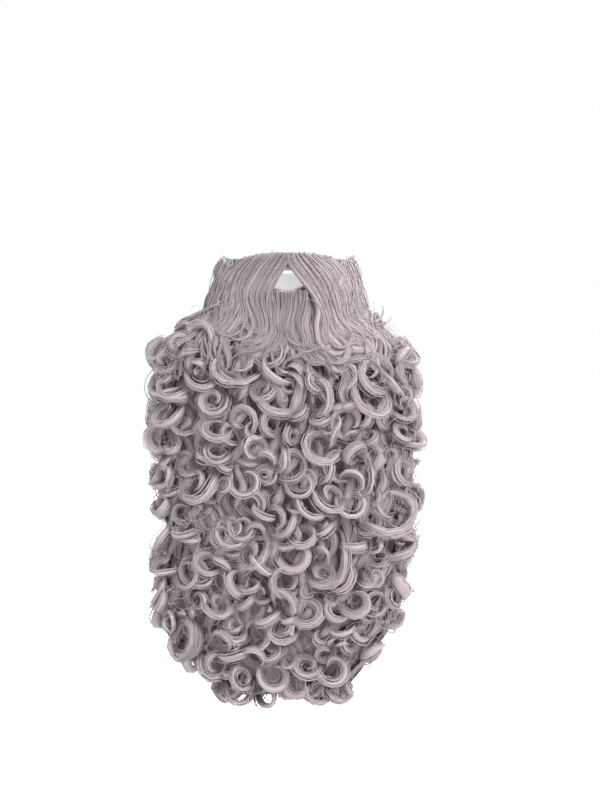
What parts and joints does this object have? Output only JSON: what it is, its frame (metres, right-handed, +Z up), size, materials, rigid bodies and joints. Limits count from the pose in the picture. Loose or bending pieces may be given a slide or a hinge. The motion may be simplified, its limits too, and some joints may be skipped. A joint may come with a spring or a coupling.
{
  "type": "long curly fake beard with moustache",
  "caption": "Long grey curly fake beard with a moustache and lip tuft on a shaped cloth backing, held by an elastic band round the head.",
  "frame": {"origin": "the tip of the wearer's chin, where it rests inside the cloth backing", "axes": "+Z up along the beard's length, -Y out in front of the wearer, +X to the right as seen from in front"},
  "size_m": [0.3204, 0.2585, 0.5482],
  "materials": {
    "backing_cloth": "matte woven cloth",
    "elastic_band": "ribbed woven elastic",
    "straight_hair": "soft sheen, combed and wavy",
    "curly_hair": "soft sheen, curled in locks"
  },
  "bodies": {
    "root": {"face_backing": "backing_cloth", "elastic_strap": "elastic_band", "moustache_left": "straight_hair", "moustache_right": "straight_hair", "lip_tuft": "straight_hair", "chin_hair": "curly_hair", "cheek_hair_left": "curly_hair", "cheek_hair_right": "curly_hair", "beard_fall": "curly_hair"}
  },
  "joints": []
}
